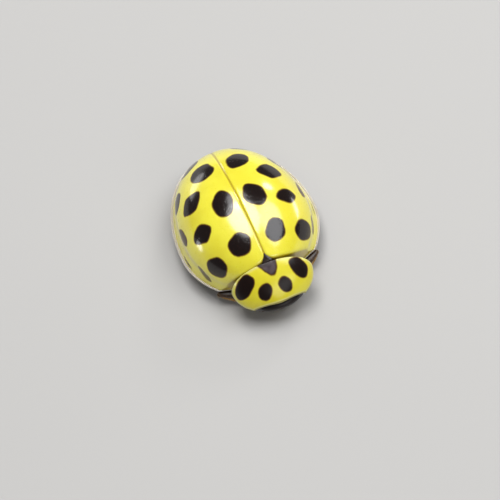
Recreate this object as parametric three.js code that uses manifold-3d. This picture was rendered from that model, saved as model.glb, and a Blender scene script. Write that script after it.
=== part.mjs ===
// A twenty-two-spot ladybird, life size, standing with its legs drawn in.
// Millimetres, +Z up, head towards -Y, its own left side at +X, and its feet on the plane z = 0.
import * as THREE from 'three';
import { LoftGeometry } from 'three/addons/geometries/LoftGeometry.js';
import { mergeVertices } from 'three/addons/utils/BufferGeometryUtils.js';
import Module from 'manifold-3d';

const wasm = await Module();
wasm.setup();

// ---------------------------------------------------------------- driving dimensions

const GAP = 0.02; // clearance between neighbouring pieces
const BASE_Y = -1.26; // where the wing cases start, over the rear of the pronotum
const NECK_Y = -1.12; // where the trunk ends under them, and the middle of the head's turn
const MARGIN_Z = 0.48; // height of the wing cases' lower edge
const EDGE_ANGLE = THREE.MathUtils.degToRad(84); // how far round its section each dome goes

// The dome of the two wing cases: half width and height, where each is largest, and how far
// the plan outline and the ridge reach forward of that before they would close.
const DOME = {
	halfWidth: 1.475,
	height: 1.235,
	widestY: -0.03,
	apexY: 0.12,
	tipY: 2.03,
	planReach: 1.54,
	ridgeReach: 2.07,
	planPowerFront: 1.88,
	planPowerRear: 1.92,
	ridgePower: 1.755,
	sectionPower: 2.22,
};
const MARGIN_WALL = 0.22; // thickness of a wing case at its lower edge
const TIP_WALL = 0.18; // at its tip
const ROOF_WALL = 0.45; // and at the ridge
const RIGHT_DOME = { ...DOME, planPowerRear: 2.12 }; // a little fuller behind than the left wing case
const CAVITY = {
	...DOME,
	halfWidth: DOME.halfWidth - MARGIN_WALL,
	height: DOME.height - ROOF_WALL,
	tipY: DOME.tipY - TIP_WALL,
	planReach: 1.43,
	ridgeReach: 1.84,
};
const CORE = {
	...CAVITY,
	halfWidth: CAVITY.halfWidth - GAP,
	height: CAVITY.height - GAP,
	tipY: CAVITY.tipY - GAP,
};
const RIM_WIDTH = 0.07; // the flat edge that runs round the dome
const RIM_DROP = 0.06; // from the dome's foot to the underside of the edge
const RIM_RISE = 0.02; // and to the top of its lip
const EPIPLEURON_RISE = 0.03; // inner edge of the turned-under band, above the dome's foot
const BASE_ROLL = 0.09; // length over which the front edge of a wing case rounds down
const BASE_SHRINK = 0.06; // share by which its section has shrunk at the very edge
const SHOULDER_X = 0.5; // the base edge runs straight out to here, then rounds back to the shoulder
const SHOULDER_BACK = 0.2; // by this much
const SHOULDER_WIDTH = 0.34; // over this width

// The small triangle between the wing cases at their base.
const SCUTELLUM = {
	halfWidth: 0.13,
	tipHalf: 0.03, // half width of its blunt rear end
	length: 0.15,
	thickness: 0.1,
	sink: 0.01, // below the ridge of the wing cases
};

const HEAD_TURN = THREE.MathUtils.degToRad(-4.5); // head and pronotum look a little to its right
const PRONOTUM = {
	halfWidth: 0.905,
	widestAt: 0.22, // forward of the neck
	frontReach: 0.68,
	rearReach: 1.1,
	length: 0.88,
	rearGap: 2 * GAP, // between the neck and the middle of its rear edge
	cornerSetback: 0.1, // front corners lie this far behind the middle of the front edge
	rearCurve: 0.1, // its rear corners lie this far ahead of the middle
	ridgeRear: 0.83, // heights above the wing cases' lower edge
	ridgeFront: 0.25,
	edgeRear: 0.19,
	edgeFront: 0.09,
	edgeThickness: 0.09,
	underside: 0.07, // at the rear
	undersideFront: 0.16,
	rearCut: 0.16, // the plate runs between these two shares of its length
	frontCut: 0.97,
	planPower: 2.2, // outline
	sectionPower: 2.3, // arch from side to side
	sectionRound: 0.5,
	profilePower: 1.7, // fall from the rear to the front
	profileRound: 0.95,
};

const HEAD = {
	centreZ: 0.475,
	halfWidth: 0.525,
	halfHeight: 0.225,
	rearY: -1.49,
	widestY: -1.7,
	frontReach: 0.26, // forward of the widest place
	rearReach: 0.6,
	planPower: 2.2,
	faceSlope: 0.45, // how fast the face falls back, going down
};
const EYE = { centre: [0.4, -1.75, 0.49], half: [0.14, 0.15, 0.15] };

const THORAX_REAR_Y = 0.13;
const ABDOMEN_SEGMENTS = 5;
const ABDOMEN_STEP = 0.03; // each belly plate overlaps the next by this much
const BELLY = {
	drop: 0.17, // of the lowest line of the belly below the wing cases' edge
	lowestY: -0.2,
	frontReach: 1.6,
	rearReach: 2.05,
	power: 2.5,
	sectionPower: 2.2,
};
const PROSTERNUM = {
	halfWidth: 0.56,
	length: 0.33,
	top: 0.52,
	bottom: 0.28,
	cornerPower: 0.7,
	endShare: 0.85, // size of its ends against its middle
	stations: [ 0, 0.15, 0.5, 0.85, 1 ], // where its sections lie along it
};

// Mouthparts and feelers, given as for the left side. Widths and thicknesses are half sizes at the
// start, the middle and the end.
const LABRUM = { centre: [ 0, - 1.85, 0.26 ], half: [ 0.17, 0.08, 0.055 ] };
const MANDIBLE = {
	from: [ 0.2, - 1.73, 0.23 ],
	to: [ 0.04, - 1.84, 0.19 ],
	bow: [ 0.03, - 0.05, 0 ],
	width: [ 0.06, 0.05, 0.02 ],
	thickness: [ 0.035, 0.035, 0.02 ],
	rings: 5,
	sides: 8,
};
const PALP = {
	from: [ 0.26, - 1.66, 0.25 ],
	to: [ 0.35, - 1.83, 0.15 ],
	bow: [ 0.04, 0, 0 ],
	width: [ 0.04, 0.045, 0.09 ],
	thickness: [ 0.04, 0.035, 0.045 ],
	rings: 6,
	sides: 8,
};
const ANTENNA = {
	from: [ 0.33, - 1.83, 0.29 ],
	to: [ 0.64, - 1.5, 0.31 ],
	bow: [ 0.06, - 0.02, - 0.06 ],
	width: [ 0.045, 0.04, 0.065 ],
	thickness: [ 0.045, 0.04, 0.055 ],
	rings: 9,
	sides: 8,
};

// The legs are drawn in under the body. Points and sizes are given as for the left side. The middle
// left leg reaches a little further out than its fellow.
const LEGS = {
	front_left: {
		side: 1,
		coxa: { centre: [ 0.26, - 1.28, 0.28 ], half: [ 0.16, 0.12, 0.11 ] },
		hip: [ 0.3, - 1.26, 0.22 ],
		knee: [ 1.17, - 1.0, 0.31 ],
		ankle: [ 0.68, - 1.3, 0.13 ],
		toe: [ 0.5, - 1.54, 0.035 ],
	},
	middle_left: {
		side: 1,
		coxa: { centre: [ 0.4, - 0.62, 0.29 ], half: [ 0.16, 0.13, 0.11 ] },
		hip: [ 0.45, - 0.6, 0.22 ],
		knee: [ 1.24, - 0.42, 0.34 ],
		ankle: [ 1.45, 0.14, 0.13 ],
		toe: [ 1.5, 0.46, 0.035 ],
	},
	hind_left: {
		side: 1,
		coxa: { centre: [ 0.5, 0, 0.31 ], half: [ 0.34, 0.11, 0.1 ] },
		hip: [ 0.56, 0.06, 0.23 ],
		knee: [ 1.2, 0.62, 0.34 ],
		ankle: [ 1.06, 1.3, 0.13 ],
		toe: [ 0.9, 1.6, 0.035 ],
	},
};
LEGS.front_right = { ...LEGS.front_left, side: - 1 };
LEGS.middle_right = {
	...LEGS.middle_left,
	side: - 1,
	knee: [ 1.14, - 0.6, 0.34 ],
	ankle: [ 1.4, - 0.02, 0.13 ],
	toe: [ 1.42, 0.31, 0.035 ],
};
LEGS.hind_right = { ...LEGS.hind_left, side: - 1 };

// Thigh, shin and foot: half widths and half thicknesses at the start, the middle and the end.
const FEMUR = { bow: [ 0, - 0.03, 0 ], width: [ 0.11, 0.16, 0.1 ], thickness: [ 0.08, 0.1, 0.08 ] };
const TIBIA = {
	width: [ 0.065, 0.085, 0.075 ],
	thickness: [ 0.06, 0.075, 0.065 ],
	rings: 6,
	sides: 8,
};
const TARSUS = {
	bow: [ 0, 0, - 0.06 ],
	width: [ 0.055, 0.095, 0.05 ],
	thickness: [ 0.06, 0.065, 0.05 ],
	rings: 6,
	sides: 8,
};
const CLAW = {
	rootBack: 0.03, // behind the toe
	rootApart: 0.02, // half the space between the roots of a pair
	tipAhead: 0.08,
	tipApart: 0.06, // half the space between the tips
	tipHeight: 0.03,
	bow: 0.03,
	radius: [ 0.035, 0.03, 0.02 ],
};

const POINT_STOP = 0.99; // a body that narrows to a point stops at this share of the way
const ROW_CROWDING = 1.5; // how much closer the rows of a wing case lie towards its base
const LIMB_END = 0.45; // the section at a limb's end, as a share of the full one
const LIMB_ROUND = 5; // how late a limb rounds off to its ends
const SLIVER = 0.004; // ridges finer than this are smoothed away after a cut

// ---------------------------------------------------------------- shapes

const { lerp } = THREE.MathUtils;
const vec = ( x, y, z ) => new THREE.Vector3( x, y, z );

// One quarter of a superellipse: 1 at ratio 0, falling to 0 at ratio 1.
const lobe = ( ratio, power ) => Math.max( 0, 1 - ratio ** power ) ** ( 1 / power );

// Like lobe, for a value that is largest at `peak` and reaches zero `ahead` before or `behind` after it.
function swell( y, peak, ahead, behind, power ) {

	return lobe( y < peak ? ( peak - y ) / ahead : ( y - peak ) / behind, power );

}

function signedVolume( points, index ) {

	let volume = 0;
	for ( let i = 0; i < index.length; i += 3 ) {

		const [ a, b, c ] = [ 0, 1, 2 ].map( ( k ) => vec().fromBufferAttribute( points, index[ i + k ] ) );
		volume += a.dot( b.cross( c ) ) / 6;

	}

	return volume;

}

// Welds a closed surface: merges its seams, drops collapsed triangles, and turns its faces outwards.
function weld( geometry ) {

	const bare = new THREE.BufferGeometry();
	bare.setAttribute( 'position', geometry.getAttribute( 'position' ) );
	bare.setIndex( geometry.getIndex() );
	const merged = mergeVertices( bare, 1e-3 );
	const corners = merged.getIndex().array;
	const index = [];
	for ( let i = 0; i < corners.length; i += 3 ) {

		const [ a, b, c ] = corners.slice( i, i + 3 );
		if ( a !== b && b !== c && c !== a ) index.push( a, b, c );

	}

	if ( signedVolume( merged.getAttribute( 'position' ), index ) < 0 ) index.reverse();
	merged.setIndex( index );
	return merged;

}

// A closed body through rings of points, with flat ends. Each ring has to run anticlockwise as seen
// from the last one, so rings that run the other way round are reversed.
function loft( rings ) {

	const [ first, second ] = rings;
	const forward = second[ 0 ].clone().sub( first[ 0 ] );
	const turn = vec();
	first.forEach( ( point, i ) => turn.add( point.clone().cross( first[ ( i + 1 ) % first.length ] ) ) );
	const ordered = turn.dot( forward ) < 0 ? rings.map( ( ring ) => [ ...ring ].reverse() ) : rings;
	return weld( new LoftGeometry( ordered, { capStart: true, capEnd: true } ) );

}

// A closed plate between two grids of points with the same rows and columns.
function plate( outer, inner ) {

	const rows = outer.length;
	const columns = outer[ 0 ].length;
	const at = ( side, [ i, j ] ) => ( side * rows + i ) * columns + j;
	const index = [];
	const quad = ( a, b, c, d ) => index.push( a, b, c, a, c, d );
	for ( let i = 0; i < rows - 1; i ++ ) {

		for ( let j = 0; j < columns - 1; j ++ ) {

			const cell = [ [ i, j ], [ i, j + 1 ], [ i + 1, j + 1 ], [ i + 1, j ] ];
			quad( ...cell.map( ( p ) => at( 0, p ) ) );
			quad( ...cell.reverse().map( ( p ) => at( 1, p ) ) );

		}

	}

	const border = [];
	for ( let j = 0; j < columns - 1; j ++ ) border.push( [ 0, j ] );
	for ( let i = 0; i < rows - 1; i ++ ) border.push( [ i, columns - 1 ] );
	for ( let j = columns - 1; j > 0; j -- ) border.push( [ rows - 1, j ] );
	for ( let i = rows - 1; i > 0; i -- ) border.push( [ i, 0 ] );
	border.forEach( ( p, k ) => {

		const q = border[ ( k + 1 ) % border.length ];
		quad( at( 0, q ), at( 0, p ), at( 1, p ), at( 1, q ) );

	} );

	const geometry = new THREE.BufferGeometry().setFromPoints( [ ...outer.flat(), ...inner.flat() ] );
	geometry.setIndex( index );
	return weld( geometry );

}

// An oval ball, grown all round by `grow`.
function ball( centre, half, grow = 0, around = 12, down = 8 ) {

	const geometry = new THREE.SphereGeometry( 1, around, down );
	geometry.scale( ...half.map( ( h ) => h + grow ) );
	geometry.translate( ...centre );
	return weld( geometry );

}

// A half size, `t` of the way along a parabola through its values at the start, middle and end.
function taper( [ start, middle, end ], t ) {

	return start * ( 1 - t ) * ( 1 - 2 * t ) + 4 * middle * t * ( 1 - t ) + end * t * ( 2 * t - 1 );

}

// A limb from one point to another, bowed sideways, with an oval section and rounded ends.
// `width` and `thickness` are its tapers, and nothing goes below the floor.
function limb( { from, to, bow = [ 0, 0, 0 ], width, thickness, rings = 7, sides = 10 }, grow = 0 ) {

	const start = vec( ...from );
	const end = vec( ...to );
	const along = end.clone().sub( start ).normalize();
	start.addScaledVector( along, - grow );
	end.addScaledVector( along, grow );
	const middle = start.clone().lerp( end, 0.5 ).add( vec( ...bow ) );
	const path = new THREE.QuadraticBezierCurve3( start, middle, end );
	const sections = [];
	for ( let k = 0; k < rings; k ++ ) {

		const t = ( 1 - Math.cos( Math.PI * k / ( rings - 1 ) ) ) / 2;
		const roundOff = Math.max( LIMB_END, Math.sqrt( 1 - Math.abs( 2 * t - 1 ) ** LIMB_ROUND ) );
		const tangent = path.getTangent( t );
		const side = vec( 0, 0, 1 ).cross( tangent ).normalize();
		const up = tangent.clone().cross( side );
		const section = [];
		for ( let i = 0; i < sides; i ++ ) {

			const angle = 2 * Math.PI * ( i + 0.5 ) / sides;
			const point = path.getPoint( t );
			point.addScaledVector( side, ( taper( width, t ) * roundOff + grow ) * Math.cos( angle ) );
			point.addScaledVector( up, ( taper( thickness, t ) * roundOff + grow ) * Math.sin( angle ) );
			point.z = Math.max( point.z, - grow );
			section.push( point );

		}

		sections.push( section );

	}

	return loft( sections );

}

function toSolid( geometry ) {

	const vertProperties = new Float32Array( geometry.getAttribute( 'position' ).array );
	const triVerts = new Uint32Array( geometry.getIndex().array );
	return new wasm.Manifold( new wasm.Mesh( { numProp: 3, vertProperties, triVerts } ) );

}

function fromSolid( solid ) {

	const mesh = solid.getMesh();
	const geometry = new THREE.BufferGeometry();
	geometry.setAttribute( 'position', new THREE.BufferAttribute( mesh.vertProperties, 3 ) );
	geometry.setIndex( new THREE.BufferAttribute( mesh.triVerts, 1 ) );
	return geometry;

}

// Cuts each tool out of a body, and keeps the largest piece that is left.
function carve( geometry, ...tools ) {

	const cut = tools.reduce( ( body, tool ) => body.subtract( toSolid( tool ) ), toSolid( geometry ) );
	const largest = cut.decompose().sort( ( a, b ) => b.volume() - a.volume() )[ 0 ];
	return fromSolid( largest.simplify( SLIVER ) );

}

function join( ...geometries ) {

	const whole = geometries.map( toSolid ).reduce( ( body, piece ) => body.add( piece ) );
	return fromSolid( whole.simplify( SLIVER ) );

}

// Turns a piece of the head or prothorax about the neck.
function turned( geometry ) {

	return geometry.clone().translate( 0, - NECK_Y, 0 ).rotateZ( HEAD_TURN ).translate( 0, NECK_Y, 0 );

}

// The same piece on the other side of the body: side is +1 for its left and -1 for its right.
function mirrored( geometry, side ) {

	return side > 0 ? geometry : weld( geometry.clone().scale( - 1, 1, 1 ) );

}

const sided = ( point, side ) => [ side * point[ 0 ], point[ 1 ], point[ 2 ] ];
const BODY_SIDES = [ [ 'left', 1 ], [ 'right', - 1 ] ];

// ---------------------------------------------------------------- materials and assembly

const ladybird = new THREE.Group();

const finish = ( color, roughness ) => new THREE.MeshStandardMaterial( { color, roughness, metalness: 0 } );
const YELLOW_SHELL = finish( 0xf2e22a, 0.25 );
const DARK_SHELL = finish( 0x241208, 0.3 );
const BELLY_BROWN = finish( 0x3a2412, 0.45 );
const EYE_BLACK = finish( 0x0a0808, 0.2 );
const LEG_BROWN = finish( 0xb07a2c, 0.4 );
const PALE_HORN = finish( 0xd9b46a, 0.4 );

function add( name, geometry, material ) {

	const mesh = new THREE.Mesh( geometry, material );
	mesh.name = name;
	ladybird.add( mesh );

}

// ---------------------------------------------------------------- wing cases

// A point on a dome, on the left side: s goes round the section from the ridge (0) to the foot (1).
function domePoint( dome, s, y ) {

	const exponent = 2 / dome.sectionPower;
	const floor = Math.cos( EDGE_ANGLE ) ** exponent;
	const across = ( Math.sin( s * EDGE_ANGLE ) / Math.sin( EDGE_ANGLE ) ) ** exponent;
	const up = ( Math.cos( s * EDGE_ANGLE ) ** exponent - floor ) / ( 1 - floor );
	const { widestY, planReach, apexY, ridgeReach, tipY, ridgePower } = dome;
	const planPower = y < widestY ? dome.planPowerFront : dome.planPowerRear;
	const halfWidth = dome.halfWidth * swell( y, widestY, planReach, tipY - widestY, planPower );
	const height = dome.height * swell( y, apexY, ridgeReach, tipY - apexY, ridgePower );
	return vec( halfWidth * across, y, MARGIN_Z + height * up );

}

// The base edge: cut away beside the scutellum, and rounding back to the shoulder.
function baseY( x ) {

	const notch = SCUTELLUM.length * Math.max( 0, 1 - x / SCUTELLUM.halfWidth );
	const shoulder = SHOULDER_BACK * ( Math.max( 0, x - SHOULDER_X ) / SHOULDER_WIDTH ) ** 2;
	return BASE_Y + notch + shoulder;

}

// The size of a section, `back` from the base edge, against the full one.
function edgeRoll( back ) {

	const ahead = Math.max( 0, 1 - back / BASE_ROLL );
	return 1 - BASE_SHRINK * ( 1 - Math.sqrt( 1 - ahead ** 2 ) );

}

// One row of points from the ridge to the foot, `t` of the way from the base to the tip.
function domeRow( dome, t, columns, rolled ) {

	const row = [];
	for ( let j = 0; j < columns; j ++ ) {

		const s = j / ( columns - 1 );
		const start = baseY( domePoint( dome, s, BASE_Y ).x );
		const y = start + ( dome.tipY - start ) * Math.sin( t * Math.PI / 2 );
		const point = domePoint( dome, s, y );
		const size = rolled ? edgeRoll( y - start ) : 1;
		row.push( vec( point.x * size, y, MARGIN_Z + ( point.z - MARGIN_Z ) * size ) );

	}

	return row;

}

// A point of the outline moved outwards in plan, at a height above the dome's foot.
function beyondFoot( foot, width, rise ) {

	const reach = foot.y > DOME.widestY ? DOME.tipY - DOME.widestY : DOME.planReach;
	const x = foot.x * ( 1 + width / DOME.halfWidth );
	const y = DOME.widestY + ( foot.y - DOME.widestY ) * ( 1 + width / reach );
	return vec( x, Math.max( y, foot.y ), MARGIN_Z + rise );

}

function elytron( shape, rows = 19, columns = 12 ) {

	const outer = [];
	const inner = [];
	for ( let i = 0; i < rows; i ++ ) {

		const t = ( i / ( rows - 1 ) ) ** ROW_CROWDING;
		const shell = domeRow( shape, t, columns, true );
		const lining = domeRow( CAVITY, t, columns, false );
		const foot = shell[ columns - 1 ];
		const lip = lining[ columns - 1 ];
		lip.z += EPIPLEURON_RISE;
		shell.push( beyondFoot( foot, RIM_WIDTH / 2, - RIM_RISE / 2 ), beyondFoot( foot, RIM_WIDTH, RIM_RISE ) );
		lining.push( lip.clone().lerp( foot, 0.5 ).setZ( MARGIN_Z - RIM_DROP / 3 ) );
		lining.push( beyondFoot( foot, RIM_WIDTH, - RIM_DROP ) );
		outer.push( shell );
		inner.push( lining );

	}

	return plate( outer, inner ).translate( GAP / 2, 0, 0 );

}

add( 'elytron_left', elytron( DOME ), YELLOW_SHELL );
add( 'elytron_right', mirrored( elytron( RIGHT_DOME ), - 1 ), YELLOW_SHELL );

// A wedge that lies on the slope of the wing cases.
function scutellum() {

	const { halfWidth, tipHalf, length, thickness, sink } = SCUTELLUM;
	const slope = ( x, y, drop ) => vec( x, y, domePoint( DOME, 0, y ).z - sink - drop );
	const front = BASE_Y + GAP / 2;
	const rear = BASE_Y + length - 4 * GAP;
	const half = halfWidth - 2 * GAP;
	const rings = [ 0, thickness ].map( ( drop ) => [
		slope( - half, front, drop ),
		slope( half, front, drop ),
		slope( tipHalf, rear, drop ),
		slope( - tipHalf, rear, drop ),
	] );
	return loft( rings );

}

add( 'scutellum', scutellum(), DARK_SHELL );

// ---------------------------------------------------------------- pronotum

// A point on the pronotum: u from its right edge (-1) to its left (1), v from the rear edge (0) to
// the front (1). Its plan is an oval cut off behind, and it slopes down to the front and the sides.
function pronotumPoint( u, v ) {

	const p = PRONOTUM;
	const rear = p.rearGap + p.rearCurve * u * u;
	const front = p.length - p.cornerSetback * u * u;
	const forward = lerp( rear, front, v );
	const spread = swell( forward, p.widestAt, p.rearReach, p.frontReach, p.planPower );
	const ridge = lerp( p.ridgeFront, p.ridgeRear, ( 1 - v ** p.profilePower ) ** p.profileRound );
	const edge = lerp( p.edgeRear, p.edgeFront, v );
	const height = lerp( edge, ridge, ( 1 - Math.abs( u ) ** p.sectionPower ) ** p.sectionRound );
	return vec( p.halfWidth * spread * u, NECK_Y - forward, MARGIN_Z + height );

}

function pronotum( rows = 9, columns = 17 ) {

	const outer = [];
	const inner = [];
	for ( let i = 0; i < rows; i ++ ) {

		const v = lerp( PRONOTUM.rearCut, PRONOTUM.frontCut, i / ( rows - 1 ) );
		const underside = MARGIN_Z + lerp( PRONOTUM.underside, PRONOTUM.undersideFront, v );
		const top = [];
		for ( let j = 0; j < columns; j ++ ) {

			const angle = Math.PI * ( j / ( columns - 1 ) - 0.5 );
			top.push( pronotumPoint( Math.sin( angle ), v ) );

		}

		const below = ( z ) => Math.min( z - PRONOTUM.edgeThickness, underside );
		outer.push( top );
		inner.push( top.map( ( point ) => point.clone().setZ( below( point.z ) ) ) );

	}

	return plate( outer, inner );

}

// ---------------------------------------------------------------- head

function headSolid( grow = 0, rings = 9, sides = 20 ) {

	const sections = [];
	const frontY = HEAD.widestY - POINT_STOP * HEAD.frontReach;
	for ( let k = 0; k < rings; k ++ ) {

		const t = Math.sin( 0.5 * Math.PI * k / ( rings - 1 ) );
		const y = lerp( HEAD.rearY, frontY, t );
		const size = swell( y, HEAD.widestY, HEAD.frontReach, HEAD.rearReach, HEAD.planPower );
		const section = [];
		for ( let i = 0; i < sides; i ++ ) {

			const angle = 2 * Math.PI * i / sides;
			const x = ( HEAD.halfWidth * size + grow ) * Math.cos( angle );
			const z = ( HEAD.halfHeight * size + grow ) * Math.sin( angle );
			const fallBack = k === 0 ? grow : - HEAD.faceSlope * t * z;
			section.push( vec( x, y + fallBack, HEAD.centreZ + z ) );

		}

		sections.push( section );

	}

	return loft( sections );

}

const eye = ( side, grow = 0 ) => ball( sided( EYE.centre, side ), EYE.half, grow, 10, 7 );

const headRoom = [ headSolid( GAP ), eye( 1, GAP ), eye( - 1, GAP ) ];
add( 'pronotum', turned( carve( pronotum(), ...headRoom ) ), YELLOW_SHELL );
add( 'head', turned( carve( headSolid(), eye( 1, GAP / 2 ), eye( - 1, GAP / 2 ) ) ), DARK_SHELL );

for ( const [ name, side ] of BODY_SIDES ) add( 'eye_' + name, turned( eye( side ) ), EYE_BLACK );

// ---------------------------------------------------------------- mouth and feelers

const labrum = ( grow = 0 ) => ball( LABRUM.centre, LABRUM.half, grow, 10, 6 );

add( 'labrum', turned( carve( labrum(), headSolid( GAP ) ) ), PALE_HORN );
for ( const [ name, side ] of BODY_SIDES ) {

	const mandible = carve( limb( MANDIBLE ), headSolid( GAP ), labrum( GAP ) );
	const palp = carve( limb( PALP ), headSolid( GAP ), limb( MANDIBLE, GAP ) );
	const antenna = carve( limb( ANTENNA ), headSolid( GAP ), limb( PALP, GAP ), eye( 1, GAP ) );
	add( 'mandible_' + name, turned( mirrored( mandible, side ) ), PALE_HORN );
	add( 'palp_' + name, turned( mirrored( palp, side ) ), PALE_HORN );
	add( 'antenna_' + name, turned( mirrored( antenna, side ) ), PALE_HORN );

}

// ---------------------------------------------------------------- legs

const coxa = ( leg, grow = 0 ) => ball( leg.coxa.centre, leg.coxa.half, grow, 10, 6 );
const femur = ( leg, grow = 0 ) => limb( { ...FEMUR, from: leg.hip, to: leg.knee }, grow );
const tibia = ( leg, grow = 0 ) => limb( { ...TIBIA, from: leg.knee, to: leg.ankle }, grow );
const tarsus = ( leg ) => limb( { ...TARSUS, from: leg.ankle, to: leg.toe } );

// A pair of hooks at the end of the foot.
function claws( leg ) {

	const toe = vec( ...leg.toe );
	const outward = toe.clone().sub( vec( ...leg.ankle ) ).setZ( 0 ).normalize();
	const across = vec( outward.y, - outward.x, 0 );
	const spot = ( ahead, apart ) =>
		toe.clone().addScaledVector( outward, ahead ).addScaledVector( across, apart );
	return [ 1, - 1 ].map( ( turn ) => limb( {
		from: spot( - CLAW.rootBack, turn * CLAW.rootApart ).toArray(),
		to: spot( CLAW.tipAhead, turn * CLAW.tipApart ).setZ( CLAW.tipHeight ).toArray(),
		bow: outward.clone().multiplyScalar( CLAW.bow ).setZ( CLAW.bow ).toArray(),
		width: CLAW.radius,
		thickness: CLAW.radius,
		rings: 4,
		sides: 6,
	} ) );

}

for ( const [ name, leg ] of Object.entries( LEGS ) ) {

	const place = ( geometry ) => mirrored( geometry, leg.side );
	add( 'coxa_' + name, place( coxa( leg ) ), LEG_BROWN );
	add( 'femur_' + name, place( carve( femur( leg ), coxa( leg, GAP ), tibia( leg, GAP ) ) ), LEG_BROWN );
	add( 'tibia_' + name, place( tibia( leg ) ), LEG_BROWN );
	const foot = join( tarsus( leg ), ...claws( leg ) );
	add( 'tarsus_' + name, place( carve( foot, tibia( leg, GAP ) ) ), LEG_BROWN );

}

// ---------------------------------------------------------------- belly

// How far the belly hangs below the wing cases' edge, on its middle line.
const bellyDrop = ( y ) =>
	BELLY.drop * swell( y, BELLY.lowestY, BELLY.frontReach, BELLY.rearReach, BELLY.power );

// A section of the body under the wing cases: arched to fit the cavity above, and nearly flat below.
function bodySection( y, extra, columns = 8 ) {

	const ring = [];
	for ( let j = 0; j <= columns; j ++ ) {

		const s = 2 * j / columns - 1;
		const point = domePoint( CORE, Math.abs( s ), y );
		ring.push( point.setX( Math.sign( s ) * point.x ) );

	}

	const halfWidth = ring[ columns ].x;
	for ( let j = 1; j < columns; j ++ ) {

		const across = Math.cos( Math.PI * j / columns );
		const drop = ( bellyDrop( y ) + extra ) * ( 1 - Math.abs( across ) ** BELLY.sectionPower );
		ring.push( vec( halfWidth * across, y, MARGIN_Z - drop ) );

	}

	return ring;

}

function thorax( rings = 6 ) {

	const sections = [];
	for ( let k = 0; k < rings; k ++ ) {

		const t = k / ( rings - 1 );
		sections.push( bodySection( lerp( NECK_Y + 2 * GAP, THORAX_REAR_Y - GAP / 2, t ), 0 ) );

	}

	return loft( sections );

}

function abdomen() {

	const sections = [];
	const front = THORAX_REAR_Y + GAP / 2;
	const length = CORE.tipY * POINT_STOP - front;
	for ( let k = 0; k < ABDOMEN_SEGMENTS; k ++ ) {

		const start = front + length * Math.sin( Math.PI / 2 * k / ABDOMEN_SEGMENTS );
		const end = front + length * Math.sin( Math.PI / 2 * ( k + 1 ) / ABDOMEN_SEGMENTS );
		sections.push( bodySection( start, 0 ), bodySection( ( start + end ) / 2, ABDOMEN_STEP / 2 ) );
		sections.push( bodySection( end, ABDOMEN_STEP ) );

	}

	return loft( sections );

}

// The plate between the front legs, a block with a rounded underside below the pronotum.
function prosternum( sides = 12 ) {

	const { halfWidth, length, top, bottom, cornerPower, endShare, stations } = PROSTERNUM;
	const sections = [];
	for ( const t of stations ) {

		const round = lerp( endShare, 1, Math.sin( Math.PI * t ) );
		const section = [];
		for ( let i = 0; i < sides; i ++ ) {

			const angle = 2 * Math.PI * ( i + 0.5 ) / sides;
			const across = Math.sign( Math.cos( angle ) ) * Math.abs( Math.cos( angle ) ) ** cornerPower;
			const z = lerp( bottom, top, 0.5 + 0.5 * round * Math.sin( angle ) );
			section.push( vec( halfWidth * round * across, NECK_Y - GAP - length * t, z ) );

		}

		sections.push( section );

	}

	return loft( sections );

}

const sockets = Object.values( LEGS ).flatMap( ( leg ) => [
	mirrored( coxa( leg, GAP ), leg.side ),
	mirrored( femur( leg, GAP ), leg.side ),
] );
add( 'prosternum', carve( turned( prosternum() ), ...sockets, turned( headSolid( GAP ) ) ), BELLY_BROWN );
add( 'thorax', carve( thorax(), ...sockets ), BELLY_BROWN );
add( 'abdomen', carve( abdomen(), ...sockets ), BELLY_BROWN );

export default ladybird;
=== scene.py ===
import bpy
import numpy as np
from mathutils import Matrix, Vector


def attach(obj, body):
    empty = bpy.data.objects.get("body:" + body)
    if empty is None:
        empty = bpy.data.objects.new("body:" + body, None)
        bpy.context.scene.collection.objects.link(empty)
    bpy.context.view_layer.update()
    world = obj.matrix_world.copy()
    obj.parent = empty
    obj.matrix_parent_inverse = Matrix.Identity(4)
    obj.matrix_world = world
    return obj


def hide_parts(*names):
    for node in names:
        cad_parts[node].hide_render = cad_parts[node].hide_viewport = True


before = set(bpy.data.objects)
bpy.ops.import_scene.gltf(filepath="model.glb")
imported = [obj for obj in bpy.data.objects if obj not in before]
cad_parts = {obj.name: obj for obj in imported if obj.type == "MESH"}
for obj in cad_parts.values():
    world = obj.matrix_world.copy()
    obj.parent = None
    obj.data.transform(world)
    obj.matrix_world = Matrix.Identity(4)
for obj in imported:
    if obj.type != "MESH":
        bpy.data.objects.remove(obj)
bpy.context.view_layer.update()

# ------------------------ stage
# A pale matt floor, one wide soft light overhead, smaller ones round it, and a long lens that looks
# down on the head end from a little to the animal's right. Every length in this file is in
# millimetres until it goes into a mesh, a light or the camera, which are in metres.
MM = 0.001
LOOK_AT = np.array([0.0, 0.03, 0.98])
CAMERA_DISTANCE = 80.0
CAMERA_LENS = 272.2
LEAN_BACK = np.radians(27.66)
LEAN_RIGHT = np.radians(5.2)
CAMERA_TURN = np.radians(-26.42)
CAMERA_SLIDE = (0.113, -0.656)

back = np.array([
    -np.sin(LEAN_RIGHT),
    -np.sin(LEAN_BACK) * np.cos(LEAN_RIGHT),
    np.cos(LEAN_BACK) * np.cos(LEAN_RIGHT),
])
level = np.cross([0, 1, 0], back)
level /= np.linalg.norm(level)
rise = np.cross(back, level)
right = np.cos(CAMERA_TURN) * level + np.sin(CAMERA_TURN) * rise
up = np.cross(back, right)
place = LOOK_AT + CAMERA_DISTANCE * back + CAMERA_SLIDE[0] * right + CAMERA_SLIDE[1] * up
lens = bpy.data.cameras.new("camera")
lens.lens = CAMERA_LENS
lens.sensor_width = 36.0
lens.clip_start = 0.001
lens.clip_end = 10.0
camera = bpy.data.objects.new("camera", lens)
axes_and_place = np.column_stack([right, up, back, place * MM])
camera.matrix_world = Matrix(axes_and_place.tolist() + [[0, 0, 0, 1]])
scene = bpy.context.scene
scene.collection.objects.link(camera)
scene.camera = camera
scene.view_settings.view_transform = "Standard"
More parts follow.
